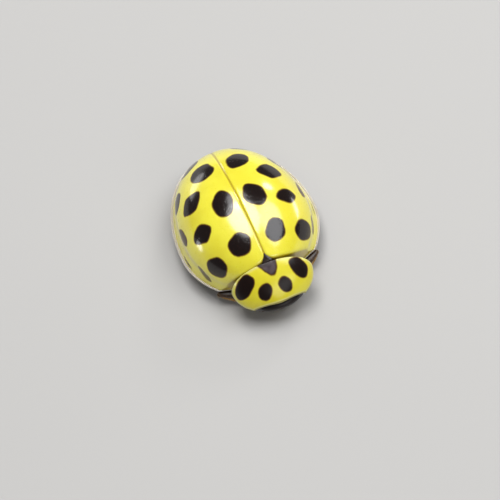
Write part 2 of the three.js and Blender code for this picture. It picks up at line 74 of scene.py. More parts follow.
scene.view_settings.look = "None"

ROOM_COLOUR = (0.93, 0.96, 1.0, 1.0)
ROOM_STRENGTH = 0.16
world = bpy.data.worlds.new("pale_room")
world.use_nodes = True
world.node_tree.nodes["Background"].inputs["Color"].default_value = ROOM_COLOUR
world.node_tree.nodes["Background"].inputs["Strength"].default_value = ROOM_STRENGTH
scene.world = world

LIGHT_DISTANCE = 90.0


def softbox(name, direction, width, height, radiance, colour=(1.0, 1.0, 1.0)):
    """An oval light that faces the animal. Its power is pi times its area times its radiance."""
    lamp = bpy.data.lights.new(name, "AREA")
    lamp.shape = "ELLIPSE"
    lamp.size = width * MM
    lamp.size_y = height * MM
    lamp.energy = np.pi * (np.pi / 4 * lamp.size * lamp.size_y) * radiance
    lamp.color = colour
    away = Vector(direction).normalized()
    holder = bpy.data.objects.new(name, lamp)
    turn = away.to_track_quat("Z", "Y").to_matrix().to_4x4()
    holder.matrix_world = Matrix.Translation((Vector(LOOK_AT) + away * LIGHT_DISTANCE) * MM) @ turn
    holder.visible_camera = False
    scene.collection.objects.link(holder)


softbox("light_above", (0.02, 0.14, 0.99), 54, 58, 7.4)
softbox("light_above_rear", (0.05, 0.50, 0.86), 28, 46, 5.0)
softbox("light_left", (0.54, -0.08, 0.84), 66, 54, 4.2, (0.95, 0.97, 1.0))
softbox("light_left_rear", (0.67, 0.55, 0.49), 20, 20, 9.0)
softbox("light_left_low", (0.99, 0.15, 0.075), 30, 13, 7.0)
softbox("light_right", (-0.95, 0.2, 0.06), 18, 16, 7.0)
softbox("light_front", (0.15, -0.85, 0.45), 60, 30, 2.4)
softbox("light_rear", (-0.36, 0.93, 0.08), 44, 18, 3.2)

FLOOR_HALF = 900.0
FLOOR_COLOUR = (0.46, 0.45, 0.435, 1)
FLOOR_ROUGHNESS = 0.85
floor_mesh = bpy.data.meshes.new("floor")
floor_signs = ((-1, -1), (1, -1), (1, 1), (-1, 1))
floor_corners = [(x * FLOOR_HALF * MM, y * FLOOR_HALF * MM, 0) for x, y in floor_signs]
floor_mesh.from_pydata(floor_corners, [], [(0, 1, 2, 3)])
floor = bpy.data.objects.new("floor", floor_mesh)
scene.collection.objects.link(floor)
floor_paint = bpy.data.materials.new("pale_floor")
floor_paint.use_nodes = True
floor_shader = floor_paint.node_tree.nodes["Principled BSDF"]
floor_shader.inputs["Base Color"].default_value = FLOOR_COLOUR
floor_shader.inputs["Roughness"].default_value = FLOOR_ROUGHNESS
floor_mesh.materials.append(floor_paint)

# ------------------------ wing cases
# The two wing cases are hard domed shells of glossy, lemon-yellow chitin, thin and pale at their
# flared rim, with eleven near-black spots each. They meet along the back and hinge at the thorax.
DOME = {
    "half_width": 1.475, "height": 1.235, "widest_y": -0.03, "apex_y": 0.12, "tip_y": 2.03,
    "plan_reach": 1.54, "ridge_reach": 2.07, "plan_power_front": 1.88, "plan_power_rear": 1.92,
    "ridge_power": 1.755, "section_power": 2.22, "flare": 0.022, "flare_from": 0.78, "flare_span": 0.22,
}
CAVITY = DOME | {
    "half_width": 1.255, "height": 0.785, "tip_y": 1.85, "plan_reach": 1.43, "ridge_reach": 1.84,
    "flare": 0.0,
}
RIGHT_PLAN_POWER_REAR = 2.12
MARGIN_Z = 0.48
EDGE_ANGLE = np.radians(84)
BASE_Y = -1.26
BASE_NOTCH = {"depth": 0.12, "half_width": 0.075, "power": 1.3}
SHOULDER = {"depth": 0.27, "start_x": 0.42, "width": 0.43, "limit": 0.995}
BASE_ROLL = {"shrink": 0.045, "reach": 0.05}
SEAM_GROOVE = {"depth": 0.016, "half_width": 0.024, "least_height": 0.2}
SEAM_HALF = 0.003
RIM_PROFILE = np.array([  # outwards and upwards from the foot of the dome
    (0.006, -0.006), (0.014, -0.010), (0.022, -0.009), (0.032, -0.002), (0.044, 0.006), (0.055, 0.009),
    (0.064, 0.005), (0.070, -0.006), (0.071, -0.018), (0.067, -0.030), (0.056, -0.038), (0.040, -0.042),
])
EPIPLEURON_RISE = 0.03

# Spots: where the middle is, half length, half width, the long axis' turn from forwards to the
# animal's left in degrees, how round the outline is (2 is an ellipse, less is a lozenge), and how
# faint it is, from 0 for near black to 1 for brown: those low on the flanks are faint, a painted
# sheen that stands in for their grazing reflection.
SPOTS_LEFT = [
    ((0.372, 1.184, 1.392), 0.305, 0.250, -44, 1.8, 0), ((0.882, 0.644, 1.383), 0.292, 0.250, 71, 1.55, 0),
    ((0.345, 0.125, 1.680), 0.318, 0.252, 17, 1.6, 0), ((0.972, -0.104, 1.409), 0.262, 0.190, -89, 1.6, 0),
    ((0.425, -0.768, 1.485), 0.272, 0.218, -30, 2.1, 0), ((0.998, -0.823, 1.082), 0.280, 0.235, -83, 1.9, 0),
    ((1.150, 1.030, 0.946), 0.210, 0.150, 20, 2.0, 0), ((1.335, 0.150, 0.970), 0.230, 0.110, -10, 2.0, 1),
    ((1.475, -0.170, 0.545), 0.170, 0.050, 0, 2.0, 0.8), ((1.275, -0.640, 0.780), 0.210, 0.090, 22, 2.0, 1),
    ((0.630, 1.700, 0.850), 0.250, 0.190, 56, 2.0, 0),
]
SPOTS_RIGHT = [
    ((-0.428, 1.250, 1.345), 0.285, 0.285, -71, 2.3, 0), ((-0.921, 0.664, 1.359), 0.315, 0.240, -65, 1.5, 0),
    ((-0.350, 0.205, 1.674), 0.335, 0.240, -11, 1.9, 0), ((-0.990, -0.118, 1.391), 0.280, 0.215, -88, 1.6, 0),
    ((-0.392, -0.756, 1.501), 0.268, 0.252, -61, 2.0, 0), ((-0.989, -0.831, 1.089), 0.258, 0.240, 52, 2.1, 0),
    ((-1.150, 1.040, 0.940), 0.260, 0.170, -25, 2.0, 0), ((-1.346, 0.245, 0.949), 0.240, 0.130, 13, 2.0, 0.7),
    ((-1.475, -0.15, 0.545), 0.180, 0.050, 0, 2.0, 0.8), ((-1.278, -0.657, 0.731), 0.220, 0.085, -26, 2.0, 1),
    ((-0.600, 1.700, 0.870), 0.290, 0.210, -56, 2.0, 0),
]
SPOT_CORNERS = ((0.025, 3, 2.1), (0.02, 5, 1.3))  # how big, how many, and how far each next spot turns them
SPOT_CORE = -0.05  # depth at which a spot is at its darkest
# A faint spot's core stays brown instead of black: painted sheen.
SHEEN_FAINT_CORE = 0.034  # how much nearer to the edge a faint spot's depth stops
SPOT_THICKNESS = 0.45  # what lies further from the spot's plane stays clear
SPOTLESS = 9.0


def lobe(ratio, power):
    """A quarter of a superellipse: (1 - ratio^power)^(1 / power), from 1 at ratio 0 to 0 at ratio 1."""
    return (1 - np.clip(ratio, 0, 1) ** power) ** (1 / power)


def swell(y, peak, ahead, behind, power):
    """A lobe on each side of the peak, reaching 0 a distance ahead before it or behind after it."""
    return lobe(np.where(y < peak, (peak - y) / ahead, (y - peak) / behind), power)


def dome_point(dome, s, y):
    """A dome's section at y is a superellipse arc: across = w (sin(sE) / sin E)^(2/n) and
    up = h (cos(sE)^(2/n) - c) / (1 - c), with c = cos(E)^(2/n). Above the foot it is drawn in by a
    flare times sin^2, which makes the rim stand out."""
    exponent = 2 / dome["section_power"]
    low = np.cos(EDGE_ANGLE) ** exponent
    power = np.where(y < dome["widest_y"], dome["plan_power_front"], dome["plan_power_rear"])
    behind_widest = dome["tip_y"] - dome["widest_y"]
    behind_apex = dome["tip_y"] - dome["apex_y"]
    half_width = dome["half_width"] * swell(y, dome["widest_y"], dome["plan_reach"], behind_widest, power)
    height = dome["height"] * swell(y, dome["apex_y"], dome["ridge_reach"], behind_apex, dome["ridge_power"])
    across = (np.sin(s * EDGE_ANGLE) / np.sin(EDGE_ANGLE)) ** exponent
    low_part = np.clip((s - dome["flare_from"]) / dome["flare_span"], 0, 1)
    across = across * (1 - dome["flare"] * np.sin(np.pi * low_part) ** 2)
    upwards = (np.cos(s * EDGE_ANGLE) ** exponent - low) / (1 - low)
    return np.stack([half_width * across, y, MARGIN_Z + height * upwards], -1)


def base_edge(x):
    """How far back the front edge lies: behind a notch d exp(-(x / w)^n) beside the scutellum, and
    a quarter ellipse at the shoulder."""
    notch = BASE_NOTCH["depth"] * np.exp(-((x / BASE_NOTCH["half_width"]) ** BASE_NOTCH["power"]))
    turned_back = np.clip((x - SHOULDER["start_x"]) / SHOULDER["width"], 0, SHOULDER["limit"])
    return BASE_Y + notch + SHOULDER["depth"] * (1 - np.sqrt(1 - turned_back**2))


def dome_sheet(dome, s, t, rolled):
    """Rows run from the base to the tip as sin(t pi / 2); near the base the section shrinks on a
    quarter circle, which rounds the front edge down."""
    s, t = np.meshgrid(s, t)
    start = base_edge(dome_point(dome, s, np.full_like(s, BASE_Y))[..., 0])
    points = dome_point(dome, s, start + (dome["tip_y"] - start) * np.sin(t * np.pi / 2))
    gone = points[..., 1] - start
    if rolled:
        rolling = np.clip(1 - gone / BASE_ROLL["reach"], 0, 1)
        size = 1 - BASE_ROLL["shrink"] * (1 - np.sqrt(1 - rolling**2))
        points[..., 0] *= size
        points[..., 2] = MARGIN_Z + (points[..., 2] - MARGIN_Z) * size
    return points, gone


END_ROWS = 4


def unit(vectors):
    """Vectors brought to length 1, and a zero vector left at zero."""
    return vectors / np.maximum(np.linalg.norm(vectors, axis=-1, keepdims=True), 1e-12)


def closed_plate(top, below, bulge):
    """Joins two sheets with the same rows and columns into a closed shell: each row becomes a loop,
    and the end rows close on the middle of the two, bulging outwards by a half circle."""
    loop = np.concatenate([top, below[:, ::-1]], 1)
    middle = np.concatenate([(top + below) / 2, ((top + below) / 2)[:, ::-1]], 1)
    turns = np.linspace(0, np.pi / 2, END_ROWS + 1)[1:, None, None]
    ends = []
    for end, near in ((0, 1), (-1, -2)):
        outward = unit(middle[end] - middle[near])
        ends.append(middle[end] + (loop[end] - middle[end]) * np.cos(turns) + outward * bulge * np.sin(turns))
        ends[-1][-1] = middle[end] + outward * bulge
    return np.concatenate([ends[0][::-1], loop, ends[1]], 0)


def plate_uv(rows, columns, shown):
    """The bake map of a closed plate: the shown columns take its left part and the others the right."""
    left = 0.72 * np.linspace(0, 1, shown)
    right = 0.74 + 0.25 * np.linspace(0, 1, columns - shown + 1)
    u = 0.005 + 0.99 * np.concatenate([left, right])
    return np.stack(np.meshgrid(u, np.linspace(0.005, 0.995, rows)), -1)[None]


UV_MARGIN = 0.01
WELD = 1e-4


def skin(name, sheets, finish, fields=None, uvs=None):
    """One piece from sheets of shape (copies, rows, columns, 3), whose columns run round a loop and
    whose end rows are points or slits. Points that coincide are welded, and faces are turned out.
    Fields hold one number per point, and uvs a place on the bake map per corner of a sheet."""
    points, faces, corners, start = [], [], [], 0
    for k, sheet in enumerate(sheets):
        copies, rows, columns = sheet.shape[:3]
        index = start + np.arange(copies * rows * columns).reshape(copies, rows, columns)
        index = np.concatenate([index, index[:, :, :1]], 2)
        quads = np.stack([index[:, :-1, :-1], index[:, :-1, 1:], index[:, 1:, 1:], index[:, 1:, :-1]], -1)
        if uvs is None:
            u = np.linspace(UV_MARGIN, 1 - UV_MARGIN, columns + 1)
            v = np.linspace(UV_MARGIN, 1 - UV_MARGIN, rows)
            tile = np.stack(np.meshgrid(u, v), -1)
            slots = int(np.ceil(np.sqrt(len(sheets) * copies)))
            number = k * copies + np.arange(copies)
            shift = np.stack([number % slots, number // slots], -1)[:, None, None]
            uv = (tile[None] + shift) / slots
        else:
            uv = uvs[k]
        uv_quads = np.stack([uv[:, :-1, :-1], uv[:, :-1, 1:], uv[:, 1:, 1:], uv[:, 1:, :-1]], -2)
        closed = sheet.reshape(-1, 3)
        quads, uv_quads = quads.reshape(-1, 4), uv_quads.reshape(-1, 4, 2)
        a, b, c, d = (closed[quads[:, i] - start] for i in range(4))
        side = np.einsum("ij,ij->i", a, np.cross(b, c)) + np.einsum("ij,ij->i", a, np.cross(c, d))
        if side.reshape(copies, -1).sum() < 0:
            quads, uv_quads = quads[:, ::-1], uv_quads[:, ::-1]
        points.append(closed)
        faces.append(quads)
        corners.append(uv_quads)
        start += len(closed)
    points, quads, corners = np.concatenate(points), np.concatenate(faces), np.concatenate(corners)
    cells = np.round(points / WELD).astype(np.int64)
    _, first, merged = np.unique(cells, axis=0, return_index=True, return_inverse=True)
    merged = merged.ravel()
    triangles = merged[np.concatenate([quads[:, [0, 1, 2]], quads[:, [0, 2, 3]]])]
    corners = np.concatenate([corners[:, [0, 1, 2]], corners[:, [0, 2, 3]]])
    whole = (triangles != np.roll(triangles, 1, 1)).all(1)
    triangles, corners = triangles[whole], corners[whole]
    mesh = bpy.data.meshes.new(name)
    mesh.vertices.add(len(first))
    mesh.vertices.foreach_set("co", (points[first] * MM).astype(np.float32).ravel())
    mesh.loops.add(triangles.size)
    mesh.loops.foreach_set("vertex_index", triangles.astype(np.int32).ravel())
    mesh.polygons.add(len(triangles))
    mesh.polygons.foreach_set("loop_start", np.arange(0, triangles.size, 3, dtype=np.int32))
    mesh.polygons.foreach_set("use_smooth", np.ones(len(triangles), dtype=bool))
    mesh.uv_layers.new(name="OFBake").data.foreach_set("uv", corners.astype(np.float32).ravel())
    for key, parts in (fields or {}).items():
        values = np.concatenate([part.ravel() for part in parts])[first].astype(np.float32)
        mesh.attributes.new(key, "FLOAT", "POINT").data.foreach_set("value", values)
    mesh.update()
    mesh.validate()
    mesh.materials.append(finish)
    piece = bpy.data.objects.new(name, mesh)
    scene.collection.objects.link(piece)
    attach(piece, "root")
    return piece


class Shade:
    """One socket of a material's nodes. Arithmetic on it adds Math nodes, and node() adds any other."""

    def __init__(self, tree, socket=None):
        self.tree = tree
        self.socket = socket

    def node(self, kind, settings=None, inputs=None, output=0):
        """Adds a node: its settings are set first, then its inputs, each a number or a Shade."""
        made = self.tree.nodes.new("ShaderNode" + kind)
        for key, value in (settings or {}).items():
            setattr(made, key, value)
        for key, value in (inputs or {}).items():
            if isinstance(value, Shade):
                self.tree.links.new(value.socket, made.inputs[key])
            else:
                made.inputs[key].default_value = value
        return Shade(self.tree, made.outputs[output])

    def math(self, operation, *values):
        return self.node("Math", {"operation": operation}, dict(enumerate(values)))

    def __add__(self, other):
        return self.math("ADD", self, other)

    __radd__ = __add__

    def __mul__(self, other):
        return self.math("MULTIPLY", self, other)

    __rmul__ = __mul__

    def __sub__(self, other):
        return self.math("SUBTRACT", self, other)

    def __rsub__(self, other):
        return self.math("SUBTRACT", other, self)

    def fade(self, low, high):
        """0 where the value is under low, 1 where it is over high, and smooth between."""
        limits = {"Value": self, "From Min": low, "From Max": high}
        return self.node("MapRange", {"interpolation_type": "SMOOTHSTEP"}, limits)

    def blend(self, first, second):
        """The first colour where the value is 0, the second where it is 1."""
        return self.node("Mix", {"data_type": "RGBA"}, {0: self, 6: first, 7: second}, 2)

    def field(self, name):
        return self.node("Attribute", {"attribute_name": name}, output=2)

    def place(self):
        return self.node("TexCoord", output=3)

    def noise(self, size, detail=2.0, roughness=0.5):
        """Soft noise from 0 to 1 whose lumps are about one size across, in millimetres."""
        inputs = {"Vector": self.place(), "Scale": 1 / (size * MM), "Detail": detail, "Roughness": roughness}
        return self.node("TexNoise", None, inputs)

    def pits(self, size, scatter=1.0):
        """Distance to the nearest of many scattered points, in units of their spacing."""
        inputs = {"Vector": self.place(), "Scale": 1 / (size * MM), "Randomness": scatter}
        return self.node("TexVoronoi", None, inputs)


def material(name, nodes, constants):
    """A Principled material. nodes is a function from a Shade to the varying sockets; a "Height"
    among them, in millimetres, goes through a Bump node to the normal."""
    made = bpy.data.materials.new(name)
    made.use_nodes = True
    tree = made.node_tree
    shader = tree.nodes["Principled BSDF"]
    for key, value in constants.items():
        shader.inputs[key].default_value = value
    varying = nodes(Shade(tree))
    height = varying.pop("Height", None)
    if height is not None:
        bump = {"Height": height, "Strength": 1.0, "Distance": MM}
        varying["Normal"] = height.node("Bump", None, bump)
    for key, value in varying.items():
        tree.links.new(value.socket, shader.inputs[key])
    return made


def spot_depth(sheet, shown, spots):
    """How far a point lies outside the nearest spot, in millimetres, and negative inside. A spot is
    the superellipse (u / a)^n + (v / b)^n = 1 in the plane that touches the first `shown` columns of
    the sheet at its middle, with low corners added as cosines of the angle round it. Inside it the
    depth stops at the spot's core, or nearer to its edge in a faint one, which stays brown as painted sheen."""
    top = sheet[:, :shown]
    normals = unit(np.cross(np.gradient(top, axis=0), np.gradient(top, axis=1)))
    depth = np.full(sheet.shape[:-1], SPOTLESS)
    for number, (middle, half_length, half_width, turn, power, faint) in enumerate(spots):
        nearest = np.unravel_index(((top - middle) ** 2).sum(-1).argmin(), top.shape[:2])
        normal = normals[nearest] * np.sign(normals[nearest][2])
        side = unit(np.cross([0, -1, 0], normal))
        side = side * np.sign(side[0])
        ahead = np.cross(normal, side)
        ahead = ahead * -np.sign(ahead[1])
        long_axis = np.cos(np.radians(turn)) * ahead + np.sin(np.radians(turn)) * side
        away = sheet - top[nearest]
        u = away @ long_axis
        v = away @ np.cross(normal, long_axis)
        angle = np.arctan2(v / half_width, u / half_length)
        corners = 1.0
        for size, count, shift in SPOT_CORNERS:
            corners = corners + size * np.cos(count * angle + shift * number)
        ratio = (np.abs(u / half_length) ** power + np.abs(v / half_width) ** power) ** (1 / power) / corners
        edge = np.where(ratio < 0.05, -half_width, np.hypot(u, v) * (1 - 1 / np.maximum(ratio, 1e-3)))
        edge = np.maximum(edge, SPOT_CORE + SHEEN_FAINT_CORE * faint)
        edge = edge + np.where(np.abs(away @ normal) > SPOT_THICKNESS, 1.0, 0.0)
        depth = np.minimum(depth, edge)
    return depth


YELLOW = (0.75, 0.66, 0.028, 1)
BRIGHT_YELLOW = (0.83, 0.765, 0.048, 1)
SEAM_OLIVE = (0.56, 0.42, 0.012, 1)
PALE_RIM = (0.43, 0.385, 0.33, 1)
SPOT_BROWN = (0.12, 0.045, 0.005, 1)
SPOT_BLACK = (0.0065, 0.0018, 0.0009, 1)
# Painted sheen: paler brown and olive for spots low on the flanks.
LOW_SPOT_SHEEN_BROWN = (0.15, 0.105, 0.006, 1)
LOW_SPOT_SHEEN_OLIVE = (0.07, 0.048, 0.002, 1)


def wing_case_shades(shade):
    """Yellow with cloudy variation, olive along the seam and the front edge, pale at the rim, with
    fine punctures and a faint long waviness. The spots go through brown to near black, or low on
    the flanks to a paler brown and olive that is painted sheen, and are smoother than the yellow,
    with a thinner gloss."""
    depth = shade.field("spot") + (shade.noise(0.16) - 0.5) * 0.035
    # Painted sheen: by height, spots low on the flanks are painted paler brown and olive instead of black.
    low = 1 - shade.field("height").fade(0.75, 1.05)
    edge = shade.field("rim")
    seam = shade.field("seam")
    cloudy = shade.noise(0.9, 3.0)
    yellow = cloudy.fade(0.35, 0.7).blend(YELLOW, BRIGHT_YELLOW)
    yellow = (1 - seam.fade(0.010, 0.034)).blend(yellow, SEAM_OLIVE)
    yellow = (edge + (shade.noise(0.2) - 0.5) * 0.12).fade(0.02, 0.22).blend(yellow, PALE_RIM)
    halo = low.blend(SPOT_BROWN, LOW_SPOT_SHEEN_BROWN)
    brown = (1 - depth.fade(-0.020, 0.016)).blend(yellow, halo)
    black = low.blend(SPOT_BLACK, LOW_SPOT_SHEEN_OLIVE)
    colour = (1 - depth.fade(-0.040, -0.006)).blend(brown, black)
    pits = shade.pits(0.075).fade(0.0, 0.42)
    roughness = 0.24 + 0.10 * shade.noise(0.05) + 0.05 * (1 - pits)
    roughness = roughness * (0.5 + 0.5 * depth.fade(-0.02, 0.01))
    height = pits * 0.0016 + shade.noise(0.5, 2.0) * 0.006
    gloss = 0.35 + 0.65 * depth.fade(-0.02, 0.01)
    return {"Base Color": colour, "Roughness": roughness, "Coat Weight": gloss, "Height": height}


shell_finish = material("yellow_wing_case", wing_case_shades, {
    "Specular IOR Level": 0.32, "Coat Roughness": 0.14, "Coat IOR": 1.68,
    "Subsurface Weight": 0.12, "Subsurface Radius": (1.0, 0.8, 0.15), "Subsurface Scale": 0.06 * MM,
})

ALONG = np.linspace(0, 1, 150) ** 1.4
AROUND = np.linspace(0, 1, 112) ** 1.3
SHOWN = len(AROUND)
OFF_SEAM = 0.5
RIM_TINT_START = 0.1
BASE_TINT_START = 0.012
out, lift = RIM_PROFILE.T
for side_name, side, spots in (("left", 1, SPOTS_LEFT), ("right", -1, SPOTS_RIGHT)):
    dome = DOME if side > 0 else DOME | {"plan_power_rear": RIGHT_PLAN_POWER_REAR}
    outer, gone = dome_sheet(dome, AROUND, ALONG, True)
    groove = SEAM_GROOVE["depth"] * np.exp(-((outer[..., 0] / SEAM_GROOVE["half_width"]) ** 2))
    least = SEAM_GROOVE["least_height"]
    outer[..., 2] -= groove * np.clip(outer[..., 2] - MARGIN_Z, 0, least) / least
    inner, _ = dome_sheet(CAVITY, AROUND, ALONG, False)
    foot = outer[:, -1:]
    lip = inner[:, -1:] + [0, 0, EPIPLEURON_RISE]
    reach = np.where(foot[..., 1] > DOME["widest_y"], DOME["tip_y"] - DOME["widest_y"], DOME["plan_reach"])
    rim_x = foot[..., 0] * (1 + out / DOME["half_width"])
    rim_y = DOME["widest_y"] + (foot[..., 1] - DOME["widest_y"]) * (1 + out / reach)
    rim = np.stack([rim_x, np.maximum(rim_y, foot[..., 1]), MARGIN_Z + lift + 0 * rim_x], -1)
    blend = np.linspace(0, 1, len(out) + 1)[:-1, None]
    band = lip * (1 - blend) + rim[:, -1:] * blend
    top = np.concatenate([outer, rim], 1)
    below = np.concatenate([inner[:, :-1], band, rim[:, -1:]], 1)
    sheet = closed_plate(top, below, 0.0)
    sheet = (sheet + [SEAM_HALF, 0, 0]) * [side, 1, 1]

    rim_field = np.concatenate([
        np.zeros(SHOWN), np.linspace(RIM_TINT_START, 1, len(out)),
        np.linspace(1, 0, len(out) + 1), np.zeros(SHOWN - 1),
    ])
    front_gap = np.concatenate([
        np.zeros((END_ROWS, SHOWN)), gone + BASE_TINT_START, np.full((END_ROWS, SHOWN), OFF_SEAM),
    ])
    seam_field = np.full(sheet.shape[:2], OFF_SEAM)
    seam_field[:, :SHOWN] = np.minimum(np.minimum(np.abs(sheet[:, :SHOWN, 0]), OFF_SEAM), front_gap)
    fields = {
        "spot": [spot_depth(sheet, SHOWN, spots)],
        "rim": [np.broadcast_to(rim_field, sheet.shape[:2])],
        "seam": [seam_field],
        "height": [sheet[..., 2]],
    }
    uv = plate_uv(*sheet.shape[:2], SHOWN)
    case = skin(f"wing_case_{side_name}", [sheet[None]], shell_finish, fields, [uv])
    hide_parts(f"elytron_{side_name}")

# ------------------------ scutellum
# The only part of the wing-bearing segment that shows from above: a tiny black, glossy triangle
# wedged between the front corners of the wing cases.
SCUTELLUM = {
    "half_width": 0.12, "front_y": -1.275, "length": 0.17, "sink": 0.012, "thickness": 0.06,
    "taper_power": 0.8, "arch": 0.02,
}
DARK_SHELL = (0.012, 0.006, 0.004, 1)
BROWN_SHELL = (0.035, 0.016, 0.008, 1)


def black_shades(shade):
    """Near black with a brown cast, a little rougher in scattered punctures."""
    pits = shade.pits(0.05).fade(0.0, 0.4)
    colour = shade.noise(0.3, 3.0).fade(0.3, 0.75).blend(DARK_SHELL, BROWN_SHELL)
    return {"Base Color": colour, "Roughness": 0.22 + 0.16 * shade.noise(0.04), "Height": pits * 0.001}


black_finish = material("black_chitin", black_shades, {
    "Specular IOR Level": 0.5, "Coat Weight": 0.3, "Coat Roughness": 0.15,
})
v, u = np.meshgrid(np.linspace(0, 1, 16), np.linspace(-1, 1, 17), indexing="ij")
y = SCUTELLUM["front_y"] + SCUTELLUM["length"] * v
ridge = dome_point(DOME, np.zeros_like(y), y)[..., 2] - SCUTELLUM["sink"]
x = SCUTELLUM["half_width"] * u * (1 - v) ** SCUTELLUM["taper_power"]
top = np.stack([x, y, ridge - SCUTELLUM["arch"] * u**2], -1)
sheet = closed_plate(top, top - [0, 0, SCUTELLUM["thickness"]], 0.0)
plate = skin("scutellum_plate", [sheet[None]], black_finish)
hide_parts("scutellum")

# ------------------------ pronotum
# The shield over the front of the thorax: one hard plate that arches from side to side, slopes down
# to the head, and has thin, paler, see-through edges. It is turned a little to the animal's right.
PRONOTUM = {
    "half_width": 0.905, "widest_at": 0.22, "front_reach": 0.68, "rear_reach": 1.1, "length": 0.88,
    "corner_setback": 0.1, "rear_curve": 0.1, "ridge_rear": 0.83, "ridge_front": 0.25, "edge_rear": 0.19,
    "edge_front": 0.09, "edge_thickness": 0.035, "underside": 0.07, "plan_power": 2.2, "section_power": 2.3,
    "section_round": 0.5, "profile_power": 1.7, "profile_round": 0.95, "rear_cut": 0.15, "front_cut": 0.985,
    "rear_gap": 0.04, "underside_front": 0.21, "underside_scale": 0.985, "corner_round": 0.05,
    "corner_power": 10, "end_bulge": 0.012,
}
NECK_Y = -1.12
HEAD_TURN = np.radians(-4.5)
SPOTS_PRONOTUM = [
    ((-0.653, -1.480, 1.008), 0.318, 0.186, -71, 2.2, 0), ((0.560, -1.568, 1.040), 0.272, 0.178, 39, 2.1, 0),
    ((-0.287, -1.743, 0.964), 0.205, 0.155, -41, 2.1, 0), ((0.160, -1.779, 0.969), 0.195, 0.145, 13, 2.1, 0),
]
MIDDLE_SPOT = {
    "slant_across": 0.80, "slant_along": 0.60, "reach": 0.32, "front": 0.47, "left": 0.17, "middle_x": 0.03,
    "rounding": 0.035, "least_height": 0.3, "sheen_depth": 0.05,
}


def turned(points):
    """Turns points of the head and the prothorax about the neck."""
    x, y, z = points[..., 0], points[..., 1] - NECK_Y, points[..., 2]
    cos, sin = np.cos(HEAD_TURN), np.sin(HEAD_TURN)
    return np.stack([x * cos - y * sin, x * sin + y * cos + NECK_Y, z], -1)


def pronotum_point(u, v):
    """u runs from the right edge, -1, to the left, 1, and v from the rear edge, 0, to the front, 1.
    The plan is a superellipse cut off behind, with the rear corners rounded off as |u|^c. The height
    falls from the ridge to the edges as (1 - |u|^n)^k, and the ridge to the front as (1 - v^m)^j."""
    p = PRONOTUM
    rear = p["rear_gap"] + p["rear_curve"] * u**2 + p["corner_round"] * np.abs(u) ** p["corner_power"]
    forward = rear + (p["length"] - p["corner_setback"] * u**2 - rear) * v
    plan = swell(forward, p["widest_at"], p["rear_reach"], p["front_reach"], p["plan_power"])
    profile = (1 - v ** p["profile_power"]) ** p["profile_round"]
    ridge = p["ridge_front"] + (p["ridge_rear"] - p["ridge_front"]) * profile
    edge = p["edge_rear"] + (p["edge_front"] - p["edge_rear"]) * v
    height = edge + (ridge - edge) * (1 - np.abs(u) ** p["section_power"]) ** p["section_round"]
    return np.stack([p["half_width"] * plan * u, NECK_Y - forward, MARGIN_Z + height], -1)


SHIELD_YELLOW = (0.66, 0.57, 0.014, 1)
SHIELD_BRIGHT_YELLOW = (0.75, 0.67, 0.035, 1)
EDGE_GREEN_YELLOW = (0.66, 0.62, 0.17, 1)
EDGE_LINE_OLIVE = (0.36, 0.31, 0.06, 1)
# Painted sheen: the mottled grey of the middle spot stands in for its grey-purple reflection.
SHEEN_MOTTLE_BLACK = (0.014, 0.007, 0.006, 1)
SHEEN_MOTTLE_GREY = (0.085, 0.062, 0.070, 1)


def pronotum_shades(shade):
    """A duller yellow than the wing cases, with paler greenish edges, near-black spots, a middle spot
    whose mottled grey is painted sheen, and pits."""
    depth = shade.field("spot") + (shade.noise(0.14) - 0.5) * 0.03
    edge = shade.field("edge")
    yellow = shade.noise(0.7, 3.0).fade(0.35, 0.7).blend(SHIELD_YELLOW, SHIELD_BRIGHT_YELLOW)
    yellow = (1 - edge.fade(0.02, 0.10)).blend(yellow, EDGE_GREEN_YELLOW)
    yellow = (1 - edge.fade(0.0, 0.022)).blend(yellow, EDGE_LINE_OLIVE)
    brown = (1 - depth.fade(-0.020, 0.014)).blend(yellow, SPOT_BROWN)
    painted_sheen = shade.noise(0.22, 1.0).fade(0.35, 0.7).blend(SHEEN_MOTTLE_BLACK, SHEEN_MOTTLE_GREY)
    black = shade.field("painted_sheen").fade(0.0, 1.0).blend(SPOT_BLACK, painted_sheen)
    colour = (1 - depth.fade(-0.040, -0.006)).blend(brown, black)
    pits = shade.pits(0.06).fade(0.0, 0.42)
    roughness = 0.30 + 0.10 * shade.noise(0.05) + 0.05 * (1 - pits)
    gloss = 0.15 + 0.55 * depth.fade(-0.02, 0.01)
    height = pits * 0.0016 + shade.noise(0.4, 2.0) * 0.005
    return {"Base Color": colour, "Roughness": roughness, "Coat Weight": gloss, "Height": height}


pronotum_finish = material("yellow_pronotum", pronotum_shades, {
    "Specular IOR Level": 0.2, "Coat Roughness": 0.2, "Coat IOR": 1.6,
    "Subsurface Weight": 0.12, "Subsurface Radius": (1.0, 0.8, 0.15), "Subsurface Scale": 0.06 * MM,
})
COLUMNS = 121
ROWS = 80
EDGE_OVERLAP = 0.02
FRONT_EDGE_FACTOR = 1.6
length_used = PRONOTUM["front_cut"] - PRONOTUM["rear_cut"]
lengthwise = PRONOTUM["rear_cut"] + length_used * np.sin(np.linspace(0, np.pi / 2, ROWS))
u, v = np.meshgrid(np.sin(np.linspace(-np.pi / 2, np.pi / 2, COLUMNS)), lengthwise)
top = pronotum_point(u, v)
below = top * [PRONOTUM["underside_scale"], 1, 1]
roof = MARGIN_Z + PRONOTUM["underside"] + (PRONOTUM["underside_front"] - PRONOTUM["underside"]) * v**2
below[..., 2] = np.minimum(top[..., 2] - PRONOTUM["edge_thickness"], roof)
sheet = turned(closed_plate(top, below, PRONOTUM["end_bulge"]))
border = np.linalg.norm(np.diff(top, axis=0, prepend=top[:1]), axis=-1).cumsum(0)
front_gap = border[-1:] - border
side_gap = np.linalg.norm(np.diff(top, axis=1, prepend=top[:, :1]), axis=-1).cumsum(1)
side_gap = np.minimum(side_gap, side_gap[:, -1:] - side_gap)
edge_field = np.zeros(sheet.shape[:2])
